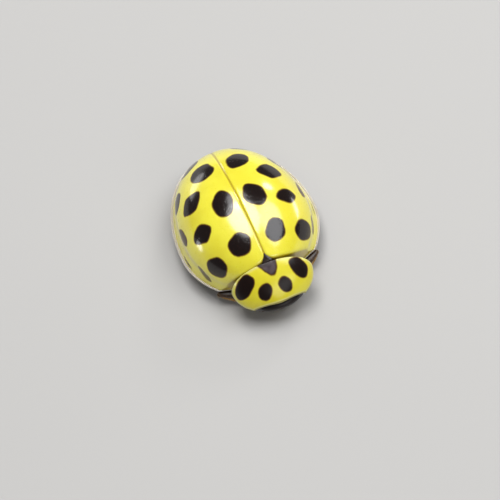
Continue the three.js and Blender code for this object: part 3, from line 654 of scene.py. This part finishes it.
edge_top = np.minimum(np.minimum(side_gap, front_gap * FRONT_EDGE_FACTOR), border + EDGE_OVERLAP)
edge_field[END_ROWS:-END_ROWS, :COLUMNS] = edge_top
depth_field = spot_depth(sheet, COLUMNS, SPOTS_PRONOTUM)
# The middle spot is a triangle on the rear edge, its point forwards and cut short. Its outline is
# where r ln(sum of exp(d / r)) is 0, with d the distance past each of its sides.
flat = sheet - np.array([0.0, NECK_Y, 0.0])
along = -(flat @ np.array([-np.sin(HEAD_TURN), np.cos(HEAD_TURN), 0]))
across = flat @ np.array([np.cos(HEAD_TURN), np.sin(HEAD_TURN), 0]) - MIDDLE_SPOT["middle_x"]
slant_across = MIDDLE_SPOT["slant_across"] * across
slant_along = MIDDLE_SPOT["slant_along"] * along
sides = np.stack([
    slant_across + slant_along - MIDDLE_SPOT["reach"], -slant_across + slant_along - MIDDLE_SPOT["reach"],
    along - MIDDLE_SPOT["front"], across - MIDDLE_SPOT["left"],
])
triangle = MIDDLE_SPOT["rounding"] * np.log(np.exp(sides / MIDDLE_SPOT["rounding"]).sum(0))
triangle = triangle + np.where(sheet[..., 2] < MARGIN_Z + MIDDLE_SPOT["least_height"], 1.0, 0.0)
depth_field = np.minimum(depth_field, np.maximum(triangle, SPOT_CORE))
# Deep inside, the middle spot is painted a mottled grey as a sheen.
painted_sheen_field = np.clip(-triangle / MIDDLE_SPOT["sheen_depth"], 0, 1)
fields = {"spot": [depth_field], "edge": [edge_field], "painted_sheen": [painted_sheen_field]}
uv = plate_uv(*sheet.shape[:2], COLUMNS)
shield = skin("pronotum_shield", [sheet[None]], pronotum_finish, fields, [uv])
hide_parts("pronotum")

# ------------------------ head
# A short, broad capsule bent down under the pronotum, black on the crown and, as painted shade
# under the pronotum, low down the face, yellowish below that, with a bulging black compound eye
# at each side.
HEAD = {
    "centre_z": 0.475, "half_width": 0.525, "half_height": 0.225, "rear_y": -1.49, "widest_y": -1.70,
    "front_reach": 0.33, "rear_reach": 0.60, "plan_power": 2.2, "face_slope": 0.45,
}
EYE_CENTRE = np.array([0.40, -1.75, 0.49])
EYE_HALF = np.array([0.155, 0.165, 0.16])
FACE_DENT = {"depth": 0.02, "half_width": 0.2, "half_height": 0.07, "below": 0.02}
# Black above this height: the crown's own black, carried low down the face as painted shade under the
# pronotum.
CROWN_SHADE_FROM = 0.34
CROWN_SHADE_TO = 0.40
CROWN_AND_SHADE_BLACK = (0.008, 0.004, 0.003, 1)
FACE_OCHRE = (0.50, 0.33, 0.03, 1)
FACE_YELLOW = (0.66, 0.50, 0.08, 1)
EYE_BLACK = (0.004, 0.003, 0.004, 1)
EYE_BROWN = (0.012, 0.006, 0.006, 1)


def head_shades(shade):
    """Black on the crown and, as painted shade under the pronotum, well down the face, going over
    to a yellow face in an uneven line, with fine pits.
    """
    height = shade.node("SeparateXYZ", None, {0: shade.place()}, 2)
    crown_and_shade = (height * (1 / MM) + (shade.noise(0.12) - 0.5) * 0.10).fade(CROWN_SHADE_FROM, CROWN_SHADE_TO)
    face = shade.noise(0.15, 3.0).blend(FACE_OCHRE, FACE_YELLOW)
    pits = shade.pits(0.04).fade(0.0, 0.4)
    colour = crown_and_shade.blend(face, CROWN_AND_SHADE_BLACK)
    return {"Base Color": colour, "Roughness": 0.3 + 0.15 * shade.noise(0.05), "Height": pits * 0.0012}


def eye_shades(shade):
    """Black with a faint brown glow, covered with tiny domed facets."""
    facets = shade.pits(0.02, 0.25)
    glow = shade.noise(0.1, 2.0).blend(EYE_BLACK, EYE_BROWN)
    return {"Base Color": glow, "Roughness": 0.2 + 0.2 * facets, "Height": (1 - facets * facets) * 0.0014}


def ball(centre, half, rows=33, columns=48):
    """An ellipsoid about a centre, from its lower pole to its upper one."""
    tilts = np.linspace(-np.pi / 2, np.pi / 2, rows)
    turns = np.linspace(0, 2 * np.pi, columns, endpoint=False)
    tilt, turn = np.meshgrid(tilts, turns, indexing="ij")
    round_off = np.cos(tilt)
    round_off[[0, -1]] = 0
    return centre + half * np.stack([round_off * np.cos(turn), round_off * np.sin(turn), np.sin(tilt)], -1)


head_finish = material("head_capsule", head_shades, {
    "Specular IOR Level": 0.3, "Coat Weight": 0.15, "Coat Roughness": 0.15,
})
eye_finish = material("compound_eye", eye_shades, {
    "Specular IOR Level": 0.5, "Coat Weight": 0.5, "Coat Roughness": 0.06,
})
forwards = np.sin(np.linspace(0, np.pi / 2, 60))
t, turn = np.meshgrid(forwards, np.linspace(0, 2 * np.pi, 96, endpoint=False), indexing="ij")
y = HEAD["rear_y"] + (HEAD["widest_y"] - HEAD["front_reach"] - HEAD["rear_y"]) * t
size = swell(y, HEAD["widest_y"], HEAD["front_reach"], HEAD["rear_reach"], HEAD["plan_power"])
size[-1] = 0
x = HEAD["half_width"] * size * np.cos(turn)
z = HEAD["half_height"] * size * np.sin(turn)
from_dent = (x / FACE_DENT["half_width"]) ** 2 + ((z + FACE_DENT["below"]) / FACE_DENT["half_height"]) ** 2
dent = FACE_DENT["depth"] * np.exp(-from_dent) * t**4
capsule = np.stack([x, y - HEAD["face_slope"] * t * z + dent, HEAD["centre_z"] + z], -1)
neck = np.broadcast_to([0, HEAD["rear_y"], HEAD["centre_z"]], capsule[:1].shape)
head = skin("head_capsule", [turned(np.concatenate([neck, capsule]))[None]], head_finish)
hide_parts("head")
for side_name, side in (("left", 1), ("right", -1)):
    sheet = turned(ball(EYE_CENTRE * [side, 1, 1], EYE_HALF))
    eye = skin(f"compound_eye_{side_name}", [sheet[None]], eye_finish)
    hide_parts(f"eye_{side_name}")

# ------------------------ mouthparts and feelers
# Horn-coloured pieces under the face: the upper lip, a pair of curved jaws, a pair of feeding palps
# with hatchet-shaped ends, and the short feelers, whose eleven joints end in a club.
# Each path is its start, its end and its bow, and each joint is where on the path it starts and
# ends, as parts of 1, and its half width there.
LABRUM = ((0, -1.83, 0.26), (0.17, 0.08, 0.055))
MANDIBLE = ((0.20, -1.73, 0.23), (0.04, -1.84, 0.19), (0.03, -0.05, 0))
PALP = ((0.26, -1.64, 0.25), (0.34, -1.78, 0.15), (0.04, 0, 0))
ANTENNA = ((0.33, -1.83, 0.29), (0.64, -1.50, 0.31), (0.06, -0.02, -0.06))
PALP_JOINTS = ((0.0, 0.30, 0.030, 0.038), (0.27, 0.62, 0.030, 0.040), (0.58, 1.0, 0.038, 0.095))
ANTENNA_JOINTS = (
    (0.00, 0.16, 0.034, 0.044), (0.14, 0.25, 0.030, 0.034), (0.24, 0.34, 0.020, 0.026),
    (0.33, 0.41, 0.020, 0.026), (0.40, 0.48, 0.021, 0.027), (0.47, 0.54, 0.022, 0.028),
    (0.53, 0.60, 0.024, 0.031), (0.59, 0.67, 0.028, 0.036), (0.66, 0.77, 0.036, 0.052),
    (0.76, 0.88, 0.046, 0.056), (0.87, 1.00, 0.048, 0.034),
)
JAW_JOINTS = ((0, 1, 0.06, 0.02),)
HORN = (0.13, 0.06, 0.016, 1)
DARK_HORN = (0.06, 0.028, 0.010, 1)


def horn_shades(shade):
    """Translucent yellow-brown horn, darker towards brown in soft clouds."""
    colour = shade.noise(0.12, 3.0).fade(0.3, 0.75).blend(HORN, DARK_HORN)
    roughness = 0.32 + 0.16 * shade.noise(0.04)
    return {"Base Color": colour, "Roughness": roughness, "Height": shade.noise(0.05, 3.0) * 0.0012}


def curve(start, end, bow, t):
    """A quadratic Bezier path from start to end, whose middle control point is pushed by bow."""
    start, end, t = np.array(start), np.array(end), t[:, None]
    middle = (start + end) / 2 + bow
    return start * (1 - t) ** 2 + 2 * middle * t * (1 - t) + end * t**2


def tube(path, half_width, half_thickness, columns=24):
    """An oval section carried along a path. Its width axis is level, and it ends where the sizes
    reach zero."""
    tangent = unit(np.gradient(path, axis=0))
    side = unit(np.cross([0, 0, 1], tangent))
    up = np.cross(tangent, side)
    turn = np.linspace(0, 2 * np.pi, columns, endpoint=False)[None, :, None]
    across = half_width[:, None, None] * np.cos(turn) * side[:, None]
    upwards = half_thickness[:, None, None] * np.sin(turn) * up[:, None]
    return path[:, None] + across + upwards


def joints(ends, spans, flatness, rows=15, columns=24):
    """A chain of joints along one bowed path. Each swells from its first half width to its second
    as a straight taper, and rounds off to nothing at its ends as (1 - |2t - 1|^6)^(1/2)."""
    local = (1 - np.cos(np.linspace(0, np.pi, rows))) / 2
    chain = []
    for first, last, near, far in spans:
        size = (near + (far - near) * local) * np.sqrt(1 - np.abs(2 * local - 1) ** 6)
        size[[0, -1]] = 0
        chain.append(tube(curve(*ends, first + (last - first) * local), size, size * flatness, columns))
    return np.stack(chain)


horn_finish = material("pale_horn", horn_shades, {
    "Specular IOR Level": 0.5, "Subsurface Weight": 0.15, "Subsurface Radius": (1.0, 0.6, 0.3),
    "Subsurface Scale": 0.04 * MM,
})
lip = skin("upper_lip", [turned(ball(*map(np.array, LABRUM)))[None]], horn_finish)
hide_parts("labrum")
for side_name, side in (("left", 1), ("right", -1)):
    mirror = np.array([side, 1, 1])
    jaw = skin(f"jaw_{side_name}", [turned(joints(MANDIBLE, JAW_JOINTS, 0.6, 21) * mirror)], horn_finish)
    palp = skin(f"feeding_palp_{side_name}", [turned(joints(PALP, PALP_JOINTS, 0.55) * mirror)], horn_finish)
    sheets = turned(joints(ANTENNA, ANTENNA_JOINTS, 0.85) * mirror)
    feeler = skin(f"feeler_{side_name}", [sheets], horn_finish)
    for piece, node, slot in (
        (jaw, "mandible", "mouthparts"), (palp, "palp", "mouthparts"), (feeler, "antenna", "antenna"),
    ):
        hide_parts(f"{node}_{side_name}")

# ------------------------ legs
# Six short legs drawn in under the body. Each has a hip ball, a swollen dark thigh, a slim
# yellow-brown shin, a three-jointed foot with a heart-shaped pad, and a pair of hooked claws.
LEGS = {  # hip ball and its half sizes, hip, knee, ankle and toe, as for the left side
    "front_left": (
        (0.26, -1.28, 0.28), (0.16, 0.12, 0.11),
        (0.30, -1.26, 0.22), (1.17, -1.00, 0.31), (0.68, -1.30, 0.13), (0.50, -1.54, 0.035),
    ),
    "middle_left": (
        (0.40, -0.62, 0.29), (0.16, 0.13, 0.11),
        (0.45, -0.60, 0.22), (1.24, -0.42, 0.34), (1.45, 0.14, 0.13), (1.50, 0.46, 0.035),
    ),
    "hind_left": (
        (0.50, 0.00, 0.31), (0.34, 0.11, 0.10),
        (0.56, 0.06, 0.23), (1.20, 0.62, 0.34), (1.06, 1.30, 0.13), (0.90, 1.60, 0.035),
    ),
}
LEGS["front_right"] = LEGS["front_left"]
LEGS["hind_right"] = LEGS["hind_left"]
LEGS["middle_right"] = (
    *LEGS["middle_left"][:3], (1.14, -0.60, 0.34), (1.40, -0.02, 0.13), (1.42, 0.31, 0.035),
)
THIGH = {"start": 0.085, "swell": 0.06, "narrowing": 0.02, "flatness": 0.66, "bow": (0, -0.03, 0)}
SHIN = {"start": 0.052, "widening": 0.022, "flatness": 0.82, "bow": 0.05}
FOOT_JOINTS = ((0.00, 0.36, 0.034, 0.062), (0.32, 0.66, 0.040, 0.082), (0.60, 1.00, 0.022, 0.034))
FOOT_DIP = (0, 0, -0.06)
FOOT_ROWS = 21
FOOT_COLUMNS = 28
CLAW = {
    "half_width": 0.020, "tip": 0.003, "tip_z": 0.006, "length": 0.085, "spread": 0.055,
    "root_in": 0.02, "root_spread": 0.012, "hook_out": 0.02, "hook_up": 0.045,
}
HAIRS = {"thigh": 60, "shin": 150, "foot": 170}
HAIR_LENGTH = 0.055
HAIR_HALF = 0.0022
HAIR_SUNK = 0.004
HAIR_LEAN = {"out": 0.55, "along": 0.8, "spread": 0.16}
LEG_OCHRE = (0.36, 0.19, 0.035, 1)
LEG_BROWN = (0.25, 0.12, 0.025, 1)
THIGH_BLACK = (0.022, 0.010, 0.005, 1)
THIGH_BROWN = (0.055, 0.025, 0.010, 1)
PALE_GOLD = (0.42, 0.30, 0.12, 1)
DARK_GOLD = (0.25, 0.15, 0.05, 1)


def leg_shades(shade):
    """Dark brown thighs, going over to yellow-brown at the knee, along the leg's own length."""
    along = shade.field("along") + (shade.noise(0.1) - 0.5) * 0.16
    pale = shade.noise(0.12, 3.0).blend(LEG_OCHRE, LEG_BROWN)
    dark = shade.noise(0.15, 3.0).blend(THIGH_BLACK, THIGH_BROWN)
    colour = along.fade(0.78, 1.0).blend(dark, pale)
    roughness = 0.3 + 0.18 * shade.noise(0.04)
    return {"Base Color": colour, "Roughness": roughness, "Height": shade.noise(0.035, 3.0) * 0.0014}


def hair_shades(shade):
    """Pale gold hairs, a little darker here and there."""
    colour = shade.noise(0.3).blend(PALE_GOLD, DARK_GOLD)
    return {"Base Color": colour, "Roughness": 0.4 + 0.1 * shade.noise(0.1)}


def hairs_on(sheet, count, rng, low=0.06, high=0.94):
    """Tapered hairs rooted on a sheet. Each is a three-sided spike that leans along the limb and
    away from it, from a ring at its root to a point; also gives each root's place on the sheet."""
    rows, columns = sheet.shape[:2]
    row = rng.uniform(low, high, count) * (rows - 2)
    column = rng.uniform(0, columns, count)
    i, j = row.astype(int), column.astype(int)
    root = sheet[i, j]
    along = sheet[i + 1, j] - sheet[i, j]
    round_it = sheet[i, (j + 1) % columns] - sheet[i, j]
    normal = np.cross(along, round_it)
    middle = sheet[i].mean(1)
    normal = unit(normal * np.sign(((root - middle) * normal).sum(-1, keepdims=True)))
    lean = HAIR_LEAN["out"] * normal + HAIR_LEAN["along"] * unit(along)
    lean = unit(lean + rng.normal(0, HAIR_LEAN["spread"], (count, 3)))
    side = unit(np.cross(lean, normal))
    other = np.cross(lean, side)
    length = HAIR_LENGTH * rng.uniform(0.6, 1.2, (count, 1))
    turn = np.arange(3) * 2 * np.pi / 3
    ring = np.cos(turn)[:, None] * side[:, None] + np.sin(turn)[:, None] * other[:, None]
    start = root[:, None] - HAIR_SUNK * lean[:, None]
    spikes = []
    for step, width in ((0.0, 0.0), (0.0, 1.0), (0.5, 0.75), (1.0, 0.0)):
        spikes.append(start + lean[:, None] * (length * step)[:, None] + HAIR_HALF * width * ring)
    return np.stack(spikes, 1), np.stack([row / rows, column / columns], -1)


leg_finish = material("brown_leg", leg_shades, {
    "Specular IOR Level": 0.5, "Coat Weight": 0.2, "Coat Roughness": 0.2,
    "Subsurface Weight": 0.08, "Subsurface Radius": (1.0, 0.6, 0.3), "Subsurface Scale": 0.04 * MM,
})
hair_finish = material("gold_hair", hair_shades, {"Specular IOR Level": 0.4})
smooth = (1 - np.cos(np.linspace(0, np.pi, 33))) / 2
round_off = np.sqrt(1 - np.abs(2 * smooth - 1) ** 5)
round_off[[0, -1]] = 0
rng = np.random.default_rng(22)
for leg_name, (ball_centre, ball_half, hip, knee, ankle, toe) in LEGS.items():
    mirror = np.array([1 if leg_name.endswith("left") else -1, 1, 1])
    hip_ball = ball(np.array(ball_centre), np.array(ball_half))
    thigh_path = curve(hip, knee, THIGH["bow"], smooth)
    thigh_size = THIGH["start"] + THIGH["swell"] * np.sin(np.pi * smooth**0.9) - THIGH["narrowing"] * smooth
    thigh = tube(thigh_path, thigh_size * round_off, THIGH["flatness"] * thigh_size * round_off, 36)
    outwards = np.array(ankle) - np.array(knee)
    shin_path = curve(knee, ankle, np.cross([0, 0, 1], outwards) * SHIN["bow"], smooth)
    shin_size = (SHIN["start"] + SHIN["widening"] * smooth**1.5) * round_off
    shin = tube(shin_path, shin_size, SHIN["flatness"] * shin_size, 28)
    foot = joints((ankle, toe, FOOT_DIP), FOOT_JOINTS, 0.7, FOOT_ROWS, FOOT_COLUMNS)
    foot[..., 2] = np.maximum(foot[..., 2], 0)
    level_out = unit((np.array(toe) - np.array(ankle)) * [1, 1, 0])
    sideways = np.array([level_out[1], -level_out[0], 0])
    claw_size = CLAW["half_width"] * (1 - smooth) ** 0.7 + CLAW["tip"]
    claw_size = claw_size * np.sqrt(1 - np.abs(2 * smooth - 1) ** 12)
    claw_size[[0, -1]] = 0
    hook = CLAW["hook_out"] * level_out + [0, 0, CLAW["hook_up"]]
    claws = []
    for hand in (1, -1):
        root = np.array(toe) - CLAW["root_in"] * level_out + CLAW["root_spread"] * hand * sideways
        tip = np.array(toe) + CLAW["length"] * level_out + CLAW["spread"] * hand * sideways
        tip[2] = CLAW["tip_z"]
        claws.append(tube(curve(root, tip, hook, smooth), claw_size, claw_size, 12))
    claws = np.stack(claws)
    claws[..., 2] = np.maximum(claws[..., 2], 0)
    parts = {  # the sheets, the node, and how far along the leg's colours they are
        "hip": ([hip_ball[None]], "coxa", 0.2),
        "thigh": ([thigh[None]], "femur", 0.88 * smooth[None, :, None]),
        "shin": ([shin[None]], "tibia", 0.72 + 0.75 * smooth[None, :, None]),
        "foot": ([foot, claws], "tarsus", 1.2),
    }
    for part, (sheets, node, along) in parts.items():
        fields = {"along": [np.broadcast_to(along, sheet.shape[:3]) for sheet in sheets]}
        piece = skin(f"{part}_{leg_name}", [sheet * mirror for sheet in sheets], leg_finish, fields)
        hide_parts(f"{node}_{leg_name}")
    hairy = {"thigh": thigh, "shin": shin, "foot": foot[:2].reshape(-1, FOOT_COLUMNS, 3)}
    patch = np.stack(np.meshgrid(np.linspace(0, 0.003, 4), np.linspace(0, 0.003, 4)), -1)
    tufts, uvs = [], []
    for lane, (part, sheet) in enumerate(hairy.items()):
        spikes, roots = hairs_on(sheet, HAIRS[part], rng)
        spikes[..., 2] = np.maximum(spikes[..., 2], 0.0005)
        tufts.append(spikes * mirror)
        corner = np.stack([0.01 + 0.3 * roots[:, 1] + 0.33 * lane, 0.01 + 0.97 * roots[:, 0]], -1)
        uvs.append(corner[:, None, None] + patch)
    coat = skin(f"leg_hairs_{leg_name}", tufts, hair_finish, None, uvs)

# ------------------------ underside
# Below the wing cases the thorax is one broad, gently domed plate, and the belly a row of five
# overlapping plates, all of dark brown, finely pitted chitin that is paler at the sides.
CORE = CAVITY | {"half_width": 1.235, "height": 0.765, "tip_y": 1.83}
BELLY = {
    "drop": 0.17, "lowest_y": -0.2, "front_reach": 1.6, "rear_reach": 2.05,
    "power": 2.5, "section_power": 2.2,
}
THORAX_REAR_Y = 0.13
BELLY_PLATES = 5
PLATE_STEP = 0.035
CHEST_SEAM = {"y": -0.62, "half_width": 0.02, "depth": 0.02}
CHEST_REAR_RIDGE = {"y": 0.08, "half_width": 0.05, "height": 0.015}
THROAT = {"start_y": NECK_Y - 0.02, "length": 0.33, "z": 0.40, "width": 1.12, "thickness": 0.24}
BELLY_BLACK = (0.020, 0.010, 0.006, 1)
BELLY_BROWN = (0.050, 0.024, 0.010, 1)
BELLY_SIDE_OCHRE = (0.34, 0.22, 0.04, 1)


def belly_shades(shade):
    """Dark brown, paler and yellower towards the sides, under a net of fine pits."""
    side = shade.field("side")
    dark = shade.noise(0.25, 3.0).blend(BELLY_BLACK, BELLY_BROWN)
    colour = (side + (shade.noise(0.2) - 0.5) * 0.12).fade(0.78, 0.98).blend(dark, BELLY_SIDE_OCHRE)
    pits = shade.pits(0.05).fade(0.0, 0.4)
    return {"Base Color": colour, "Roughness": 0.34 + 0.14 * shade.noise(0.05), "Height": pits * 0.0016}


def body_sheet(rows_y, extra, columns=48):
    """Each row is a loop: the arch of the room under the wing cases, then the underside, which
    hangs below their edge by a swell along the body times 1 - |across|^n."""
    arch = np.linspace(-1, 1, columns)
    y = np.broadcast_to(rows_y[:, None], (len(rows_y), columns))
    upper = dome_point(CORE, np.abs(np.broadcast_to(arch, y.shape)), y)
    upper[..., 0] *= np.sign(arch)
    across = np.cos(np.linspace(0, np.pi, 2 * columns))[1:-1]
    swelling = swell(rows_y, BELLY["lowest_y"], BELLY["front_reach"], BELLY["rear_reach"], BELLY["power"])
    drop = BELLY["drop"] * swelling + extra
    section = 1 - np.abs(across) ** BELLY["section_power"]
    lower_y = np.broadcast_to(rows_y[:, None], (len(rows_y), len(across)))
    lower = np.stack([upper[:, -1:, 0] * across, lower_y, MARGIN_Z - drop[:, None] * section], -1)
    loop = np.concatenate([upper, lower], 1)
    middle = loop.mean(1, keepdims=True)
    first, last = (np.broadcast_to(middle[end], loop[0].shape)[None] for end in (0, -1))
    closed = np.concatenate([first, loop, last])
    side = np.concatenate([np.ones(columns), np.abs(across)])
    return closed, np.broadcast_to(side, closed.shape[:2])


belly_finish = material("dark_underside", belly_shades, {"Specular IOR Level": 0.45})
rows_y = np.linspace(NECK_Y - 0.20, THORAX_REAR_Y - 0.01, 80)
seam = CHEST_SEAM["depth"] * np.exp(-(((rows_y - CHEST_SEAM["y"]) / CHEST_SEAM["half_width"]) ** 2))
from_ridge = (rows_y - CHEST_REAR_RIDGE["y"]) / CHEST_REAR_RIDGE["half_width"]
chest_sheet, chest_side = body_sheet(rows_y, CHEST_REAR_RIDGE["height"] * np.exp(-(from_ridge**2)) - seam)
chest = skin("chest_plate", [chest_sheet[None]], belly_finish, {"side": [chest_side]})
plates = np.linspace(0, 1, 1 + 24 * BELLY_PLATES)
belly_y = THORAX_REAR_Y + 0.01 + (CORE["tip_y"] * 0.995 - THORAX_REAR_Y) * np.sin(plates * np.pi / 2)
lap = (plates * BELLY_PLATES) % 1
lap[-1] = 1
belly_sheet, belly_side = body_sheet(belly_y, PLATE_STEP * lap**1.5)
belly = skin("belly_plates", [belly_sheet[None]], belly_finish, {"side": [belly_side]})
t = (1 - np.cos(np.linspace(0, np.pi, 31))) / 2
size = 0.5 * (1 - np.abs(2 * t - 1) ** 7) ** 0.5
size[[0, -1]] = 0
path = np.stack([0 * t, THROAT["start_y"] - THROAT["length"] * t, THROAT["z"] + 0 * t], -1)
front_sheet = turned(tube(path, THROAT["width"] * size, THROAT["thickness"] * size, 48))
front_side = np.full(front_sheet.shape[:2], 0.5)
front = skin("throat_plate", [front_sheet[None]], belly_finish, {"side": [front_side]})
for piece, node in ((chest, "thorax"), (belly, "abdomen"), (front, "prosternum")):
    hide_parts(node)
